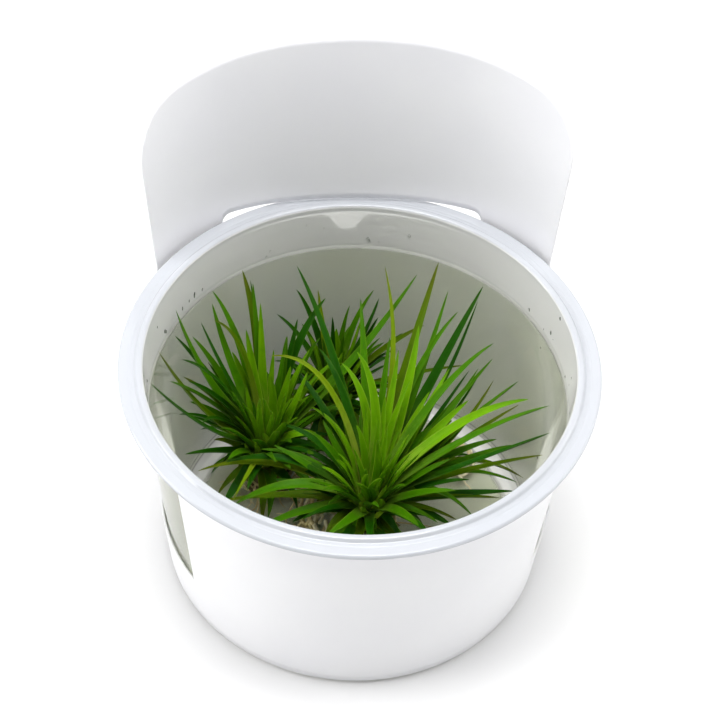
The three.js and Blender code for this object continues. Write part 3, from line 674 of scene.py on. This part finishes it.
# Crowns: the swollen heart of each plant, made of pale sheathing leaf bases packed round a short stem, and
# the inner leaves that grow from it. Together they are one living piece. Their paleness is partly their own
# and partly painted light on the shaded middle of the crown.

HEART_RADIUS, HEART_HALF_HEIGHT, HEART_SINK = 2.6, 4.0, 1.5
HEART_ROWS, HEART_COLUMNS = 22, 40
GOLDEN_ANGLE, SKIRT_DROP, SHEATHS = 137.5, 3.5, 18
# The circle that leaf tips stay in: how far inside the tub's base it starts, and how fast it grows upwards.
WALL_CLEARANCE, CIRCLE_SLOPE = 2.5, 0.09


def heart(crown):
    """An upright egg whose radius swells and sinks in upright folds, deepest at mid height."""
    turn = np.linspace(0, 2 * np.pi, HEART_COLUMNS, endpoint=False)[None, :]
    rise = np.linspace(-np.pi / 2, np.pi / 2, HEART_ROWS)[:, None]
    folds = 1 + 0.09 * np.sin(9 * turn + 2 * np.sin(2 * rise)) * np.cos(rise)
    r = HEART_RADIUS * np.cos(rise) * folds
    z = HEART_HALF_HEIGHT * np.sin(rise) - HEART_SINK + 0 * turn
    points = np.stack([r * np.cos(turn), r * np.sin(turn), z], -1)
    # The heart takes the sheath's pale foot colour, which is partly painted light.
    uv = np.stack([turn / (2 * np.pi) * 3 % 1 + 0 * rise, 0.02 + 0.06 * (1 + np.sin(rise)) + 0 * turn], -1)
    faces = grid_faces(HEART_ROWS, HEART_COLUMNS, True)
    return points.reshape(-1, 3) + np.array(crown), faces, uv.reshape(-1, 2)


def grown(crown, slope, size, arch, width, tones, draw):
    """Leaves at the golden angle, one for each slope (degrees) and size. A leaf that would meet the tub's wall
    is cut short of it: the longest reach is where its heading crosses a circle just inside the wall."""
    count = len(slope)
    heading = np.arange(count) * GOLDEN_ANGLE + draw.uniform(-10, 10, count)
    reach, rise = size * np.cos(np.radians(slope)), size * np.sin(np.radians(slope))
    out = np.stack([np.sin(np.radians(heading)), np.cos(np.radians(heading))])
    toward = out[0] * crown[0] + out[1] * crown[1]
    limit = BASE_RADIUS - WALL_CLEARANCE + (crown[2] + rise) * CIRCLE_SLOPE
    reach = np.minimum(reach, -toward + np.sqrt(toward ** 2 + limit ** 2 - crown[0] ** 2 - crown[1] ** 2))
    bow = draw.uniform(-1.0, 1.0, count)
    return [(float(h), float(r), float(z), arch, float(b), float(w), tone)
            for h, r, z, b, w, tone in zip(heading, reach, rise, bow, width, tones)]


def filling(crown, young, skirt, length, draw):
    """What grows between the named leaves: sheaths that hug the heart, young leaves that are steeper and
    brighter the newer they are, and below them a skirt of old leaves that bend over towards the floor."""
    low = tuple(np.array(crown) - (0, 0, SKIRT_DROP))
    age = np.linspace(0, 1, young)
    tones = [("dark", "green", "green", "young", "young")[int(4.99 * a)] for a in age]
    upper = grown(crown, 18 + 64 * age + draw.uniform(-7, 7, young), length * draw.uniform(0.7, 1.0, young),
                  2.0, draw.uniform(2.0, 2.8, young), tones, draw)
    tones = [("dark", "olive", "green")[k % 3] for k in range(skirt)]
    lower = grown(low, draw.uniform(-22, 8, skirt), length * draw.uniform(0.45, 0.75, skirt), 3.5,
                  draw.uniform(2.0, 2.8, skirt), tones, draw)
    age = np.linspace(0, 1, SHEATHS)
    hug = grown(low, 52 + 24 * age, 9.5 + 4 * age, -0.6, np.full(SHEATHS, 3.8), ["sheath"] * SHEATHS, draw)
    return [(crown, upper), (low, lower), (low, hug)]


# How many young leaves and skirt leaves each plant has, and how long its longest one is.
HEARTS = {"left": (44, 20, 22), "right": (44, 22, 24), "back": (28, 18, 18)}
for seed, (plant_name, plant) in enumerate(plants.items(), 11):
    draw = np.random.default_rng(seed)
    points, faces, uv = heart(plant["crown"])
    sets = [(points, faces, uv, np.full(len(faces), LEAF_TONES.index("sheath")))]
    for start, rows in [(plant["crown"], plant["packed"] + plant["extra"])] + filling(
            plant["crown"], *HEARTS[plant_name], draw):
        sets.append(blades(start, rows, 0.0, True))
    offsets = np.cumsum([0] + [len(one[0]) for one in sets[:-1]])
    crown_heart = make_piece(
        f"{plant_name}_crown_heart", np.concatenate([one[0] for one in sets]),
        np.concatenate([one[1] + offset for one, offset in zip(sets, offsets)]),
        [leaf_materials[tone] for tone in LEAF_TONES], np.concatenate([one[2] for one in sets]),
        np.concatenate([one[3] for one in sets]))
    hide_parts(f"{plant_name}_crown")


# Roots: a brown mat of old roots under each crown, with new cream roots wound over it and trailing across the
# floor of the tub. They are soft, wet and only lie there.

def root_material(name, pale, deep, rough):
    """Wet root: cream to brown in patches along it, with finer specks, and a damp gloss."""
    material, wire = new_material(name)
    place = wire.place()
    patch = wire.noise(place, 110.0, 4.0, 0.6)
    speck = wire.noise(place, 900.0, 3.0, 0.6)
    wire.surface({
        "Base Color": wire.mix(patch.between(0.38, 0.66) * 0.75 + speck.between(0.5, 0.7) * 0.25, pale, deep),
        "Roughness": rough + speck * 0.2,
        "Normal": wire.bump(speck + patch, 0.12, 0.8),
        "Specular IOR Level": 0.5,
    })
    return material


def root_mat(crown, radius, turn, draw):
    """A low cushion with a flat underside: its outline swells in three and in seven lobes, and its skin is
    lumpy, as the sum of three sine waves that run round it and lean."""
    around = np.linspace(0, 2 * np.pi, MAT_COLUMNS, endpoint=False)[None, :]
    rise = np.linspace(-np.pi / 2, np.pi / 2, MAT_ROWS)[:, None]
    lobes = 1 + 0.13 * np.sin(3 * around + turn) + 0.08 * np.sin(7 * around - 2 * turn)
    waves = draw.uniform(0, 2 * np.pi, 6)
    lumps = (np.sin(13 * around + waves[0] + 5 * rise) + np.sin(21 * around + waves[1] - 8 * rise)
             + np.sin(31 * around + waves[2] + 11 * rise))
    bottom, top = FLOOR_TOP + 0.2, crown[2] - BULB_HALF_HEIGHT + 0.3
    flat = np.clip(np.sin(rise) / 0.8, -1, 1)
    r = radius * 0.9 * np.cos(rise) * lobes * (1 + 0.06 * lumps)
    z = (bottom + top) / 2 + flat * (top - bottom) / 2 * (1 - 0.1 * lumps * np.cos(rise))
    z = np.maximum(z, bottom - 0.15)
    points = np.stack([crown[0] + r * np.cos(around), crown[1] + r * np.sin(around), z], -1)
    return points.reshape(-1, 3), grid_faces(MAT_ROWS, MAT_COLUMNS, True)


def tubes(line, thick):
    """Round tubes carried along many lines at once: line is roots by points by 3, thick roots by points. The
    ring stands square to the line, and the first and last rings close to a point."""
    along = np.gradient(line, axis=1)
    along /= np.linalg.norm(along, axis=2, keepdims=True)
    side = np.cross(along, np.array([0.02, 0.03, 1.0]))
    side /= np.linalg.norm(side, axis=2, keepdims=True)
    up = np.cross(side, along)
    turn = 2 * np.pi * np.arange(ROOT_SIDES) / ROOT_SIDES
    ring = side[:, :, None] * np.cos(turn)[:, None] - up[:, :, None] * np.sin(turn)[:, None]
    points = line[:, :, None] + ring * thick[:, :, None, None]
    steps = line.shape[1]
    one = grid_faces(steps, ROOT_SIDES, True)
    faces = one[None] + (np.arange(len(line)) * steps * ROOT_SIDES)[:, None, None]
    return points.reshape(-1, 3), faces.reshape(-1, 4)


def trailing_roots(centre, radius, top, count, length, bold, draw):
    """Roots that leave the mat, wander as the sum of three sine waves of their own, sink to the floor, rise in
    low humps along the way, and turn back where they would meet the wall."""
    t = np.linspace(0, 1, ROOT_POINTS)[None, :]
    own_length = length * draw.uniform(0.4, 1.0, (count, 1))
    bearing = draw.uniform(0, 2 * np.pi, (count, 1))
    wander = sum(draw.normal(0, size, (count, 1)) * np.sin(wave * t + draw.uniform(0, 6, (count, 1)))
                 for wave, size in ((2.0, 0.6), (5.0, 0.4), (12.0, 0.25)))
    heading = bearing + wander
    step = own_length / (ROOT_POINTS - 1)
    start = radius * draw.uniform(0.2, 0.9, (count, 1))
    x = centre[0] + start * np.cos(bearing) + np.cumsum(np.cos(heading) * step, 1)
    y = centre[1] + start * np.sin(bearing) + np.cumsum(np.sin(heading) * step, 1)
    far = np.hypot(x, y)
    turned_back = FREE_RADIUS + LAST_STRETCH * np.tanh((far - FREE_RADIUS) / LAST_STRETCH)
    held = np.where(far > FREE_RADIUS, turned_back, far) / far
    thick = bold * draw.uniform(0.11, 0.26, (count, 1)) * (1 - 0.6 * t)
    hump = 0.9 * np.abs(np.sin(t * draw.uniform(4, 11, (count, 1)) + draw.uniform(0, 6, (count, 1))))
    begin = draw.uniform(0.2, 0.9, (count, 1)) * (top - FLOOR_TOP)
    z = FLOOR_TOP + 0.1 + thick + begin * (1 - t) ** 2.5 + hump * draw.uniform(0, 1.6, (count, 1))
    thick = thick * np.sqrt(np.clip(1 - (2 * t - 1) ** 24, 0, 1))
    return np.stack([x * held, y * held, z], -1), thick


def wound_roots(centre, radius, bottom, top, count, bold, draw):
    """Roots wound over the mat: each follows a tilted path round a flat egg, a little off its skin."""
    t = np.linspace(0, 1, ROOT_POINTS)[None, :]
    around = (draw.uniform(0, 2 * np.pi, (count, 1))
              + draw.uniform(0.8, 2.6, (count, 1)) * t * draw.choice([-1, 1], (count, 1)))
    around = around + 0.25 * np.sin(t * draw.uniform(5, 12, (count, 1)) + draw.uniform(0, 6, (count, 1)))
    rise = (draw.uniform(-0.5, 1.1, (count, 1))
            + draw.normal(0, 0.6, (count, 1)) * np.sin(3 * t + draw.uniform(0, 6, (count, 1))))
    rise = np.clip(rise, -1.2, 1.45)
    off = draw.uniform(0.93, 1.12, (count, 1))
    flat = np.clip(np.sin(rise) / 0.8, -1, 1)
    x = centre[0] + radius * off * np.cos(rise) * np.cos(around)
    y = centre[1] + radius * off * np.cos(rise) * np.sin(around)
    full = bold * draw.uniform(0.12, 0.30, (count, 1))
    z = np.maximum((bottom + top) / 2 + flat * off * (top - bottom) / 2, FLOOR_TOP + 0.05 + full)
    thick = full * np.sqrt(np.clip(1 - (2 * t - 1) ** 24, 0, 1))
    return np.stack([x, y, z], -1), thick


MAT_ROWS, MAT_COLUMNS = 36, 96
ROOT_POINTS, ROOT_SIDES = 34, 6
# Roots wander freely this far from the tub's middle, and then get at most the last stretch further.
FREE_RADIUS, LAST_STRETCH = 30.0, 5.5
# How high a clump of roots that lies beside its crown stands on the floor.
LOOSE_HEIGHT = 4.6
old_root = root_material("old root", (0.24, 0.17, 0.075), (0.060, 0.040, 0.018), 0.5)
tan_root = root_material("tan root", (0.62, 0.52, 0.28), (0.36, 0.27, 0.12), 0.4)
cream_root = root_material("cream root", (0.82, 0.76, 0.54), (0.56, 0.48, 0.28), 0.35)
# Each clump: its middle, its radius, its longest root, how many roots trail and are wound, how thick they are.
clumps = {
    "left": [((-18.6, 12), 5.4, 12, 14, 26, 1.0), ((-9, 8), 4.0, 11, 10, 12, 1.8)],
    "right": [((3, -3), 5.8, 16, 20, 30, 1.2), ((22.5, 15.5), 4.2, 8, 12, 20, 1.4),
              ((-6, -1), 4.5, 11, 12, 14, 2.0)],
    "back": [((-3.5, 27), 4.4, 9, 10, 16, 1.0)],
}
for seed, (plant_name, plant) in enumerate(plants.items(), 31):
    draw = np.random.default_rng(seed)
    crown, roots = plant["crown"], plant["roots"]
    top = crown[2] - BULB_HALF_HEIGHT + 0.3
    points, faces = root_mat(crown, roots["radius"], roots["turn"], draw)
    all_points, all_faces, finish, count = [points], [faces], [np.zeros(len(faces), int)], len(points)
    for centre, radius, length, trailing, wound, bold in clumps[plant_name]:
        high = top if centre == crown[:2] else FLOOR_TOP + LOOSE_HEIGHT
        for line, thick in (trailing_roots(centre, radius, high, trailing, length, bold, draw),
                            wound_roots(centre, radius, FLOOR_TOP + 0.3, high, wound, bold, draw)):
            points, faces = tubes(line, thick)
            all_points.append(points)
            all_faces.append(faces + count)
            finish.append(np.repeat(draw.integers(1, 3, len(line)), len(faces) // len(line)))
            count += len(points)
    ball = make_piece(f"{plant_name}_root_ball", np.concatenate(all_points), np.concatenate(all_faces),
                      [old_root, tan_root, cream_root], None, np.concatenate(finish))
    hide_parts(f"{plant_name}_roots")


# Water drops: condensed water on the inside of the tub, as beads and short runs. Most sit just above the
# ledge, some higher on the collar or down on the wall.

# The straight inner wall and collar that the drops stand on: a height, the radius there and how fast it grows.
WALL_LINE = (4.0, BASE_RADIUS - 0.9, 4.05 / 39.4)
COLLAR_LINE = (WALL_TOP + 1.0, COLLAR_RADIUS - 1.2, 0.6 / 10.6)


def on_line(z, start, radius, slope):
    """The radius at a height on a wall that widens evenly."""
    return radius + slope * (z - start)


def beads(count, seed):
    """Flat-backed drops on the inside of the tub: each is a dome of its own width and height, narrower at its
    upper end, that stands on the wall's radius at its height."""
    draw = np.random.default_rng(seed)
    turn = draw.uniform(0, 2 * np.pi, count)
    where = draw.random(count)
    near_ledge = draw.uniform(WALL_TOP + 1.6, WALL_TOP + 3.2, count)
    on_collar = draw.uniform(WALL_TOP + 2, TUB_HEIGHT - 1.5, count)
    on_wall = draw.uniform(10, WALL_TOP - 1, count)
    z = np.where(where < 0.6, near_ledge, np.where(where > 0.85, on_wall, on_collar))
    wall = np.where(z > COLLAR_LINE[0], on_line(z, *COLLAR_LINE), on_line(z, *WALL_LINE))
    size = draw.uniform(0.12, 0.38, count) * np.where(draw.random(count) < 0.12, 1.6, 1.0)
    long = size * draw.uniform(1.0, 2.4, count)
    around = np.linspace(0, 2 * np.pi, DROP_COLUMNS, endpoint=False)[None, :]
    swell = np.linspace(-np.pi / 2, np.pi / 2, DROP_ROWS)[:, None]
    u = (np.cos(swell) * np.cos(around)).ravel()
    v = (np.cos(swell) * np.sin(around)).ravel()
    w = np.maximum((np.sin(swell) + 0 * around).ravel(), 0)
    inward = 0.03 + w[None, :] * size[:, None] * 0.45
    sideways = u[None, :] * size[:, None] * (1 - 0.25 * v[None, :])
    upright = v[None, :] * long[:, None]
    r = wall[:, None] + upright * 0.08 - inward
    a = turn[:, None] + sideways / wall[:, None]
    points = np.stack([r * np.cos(a), r * np.sin(a), z[:, None] + upright], -1)
    one = grid_faces(DROP_ROWS, DROP_COLUMNS, True)[:, ::-1]
    faces = one[None] + (np.arange(count) * DROP_ROWS * DROP_COLUMNS)[:, None, None]
    return points.reshape(-1, 3), faces.reshape(-1, 4)


def water():
    """Clear water with a faint ripple in its gloss."""
    material, wire = new_material("water")
    ripple = wire.noise(wire.place(), 500.0, 2.0)
    wire.surface({
        "Base Color": wire.mix(ripple, (0.97, 0.99, 0.98), (1.0, 1.0, 1.0)),
        "Roughness": 0.01 + ripple * 0.02,
        "IOR": 1.33,
        "Transmission Weight": 1.0,
    })
    return material


DROPS, DROP_ROWS, DROP_COLUMNS = 56, 8, 10
drop_points, drop_faces = beads(DROPS, 5)
drops = make_piece("water_drops", drop_points, drop_faces, [water()])


# Floor, light and camera, none of which belongs to the object: a pale floor under an even white sky, with a
# soft box at either side and one overhead.

FLOOR_SIZE, FLOOR_GAP = 3000.0, 0.05
floor_corners = np.array([(-1, -1, 0), (1, -1, 0), (1, 1, 0), (-1, 1, 0)])
floor_edge = floor_corners * FLOOR_SIZE / 2 - np.array([0, 0, FLOOR_GAP])
floor_material, wire = new_material("pale floor")
wire.surface({"Base Color": wire.mix(wire.noise(wire.place(), 6.0), (0.79, 0.79, 0.79), (0.81, 0.81, 0.81)),
              "Roughness": 0.9, "Specular IOR Level": 0.1})
floor_mesh = bpy.data.meshes.new("floor")
floor_mesh.from_pydata((floor_edge * MM).tolist(), [], [(0, 1, 2, 3)])
floor_mesh.materials.append(floor_material)
floor = bpy.data.objects.new("floor", floor_mesh)
bpy.context.scene.collection.objects.link(floor)

world = bpy.data.worlds.new("white room")
world.use_nodes = True
world.node_tree.nodes["Background"].inputs["Color"].default_value = (1.0, 1.0, 1.0, 1.0)
world.node_tree.nodes["Background"].inputs["Strength"].default_value = 0.46
bpy.context.scene.world = world


def soft_box(name, place, power):
    """A square area light that looks at the middle of the tub."""
    light = bpy.data.lights.new(name, "AREA")
    light.size, light.energy = SOFT_BOX_SIZE, power
    box = bpy.data.objects.new(name, light)
    box.location = place
    box.rotation_euler = (Vector((0, 0, 0.03)) - Vector(place)).to_track_quat("-Z", "Y").to_euler()
    bpy.context.scene.collection.objects.link(box)


SOFT_BOX_SIZE = 0.6
soft_box("left box", (-0.9, 0.0, 0.5), 6.4)
soft_box("right box", (0.9, 0.1, 0.5), 3.9)
soft_box("top box", (0.0, 0.0, 1.1), 11.5)

# The camera is a pinhole that looks down on the rim. Its place is worked out in the frame of the view and
# then turned to the object's own front.
DOWN, ROLL, TURN = math.radians(48.5), math.radians(2.74), math.radians(-4.5)
DISTANCE, ASIDE, ABOVE = 9.08 * RIM_RADIUS, -0.002 * RIM_RADIUS, -0.004 * RIM_RADIUS
ahead = Vector((0, math.cos(DOWN), -math.sin(DOWN)))
level = Vector((1, 0, 0))
upward = level.cross(ahead)
rightward = math.cos(ROLL) * level + math.sin(ROLL) * upward
skyward = -math.sin(ROLL) * level + math.cos(ROLL) * upward
eye = -ahead * DISTANCE + level * ASIDE + upward * ABOVE + Vector((0, 0, TUB_HEIGHT))
turned_frame = Matrix.Rotation(TURN, 4, "Z")
camera_data = bpy.data.cameras.new("camera")
camera_data.lens, camera_data.sensor_width, camera_data.sensor_height = 110.0, 36.0, 36.0
camera_data.clip_start, camera_data.clip_end = 0.01, 20.0
camera = bpy.data.objects.new("camera", camera_data)
axes = Matrix((rightward, skyward, -ahead)).transposed().to_4x4()
camera.matrix_world = turned_frame @ Matrix.Translation(eye * MM) @ axes
bpy.context.scene.collection.objects.link(camera)
bpy.context.scene.camera = camera
bpy.context.scene.view_settings.view_transform = "Standard"
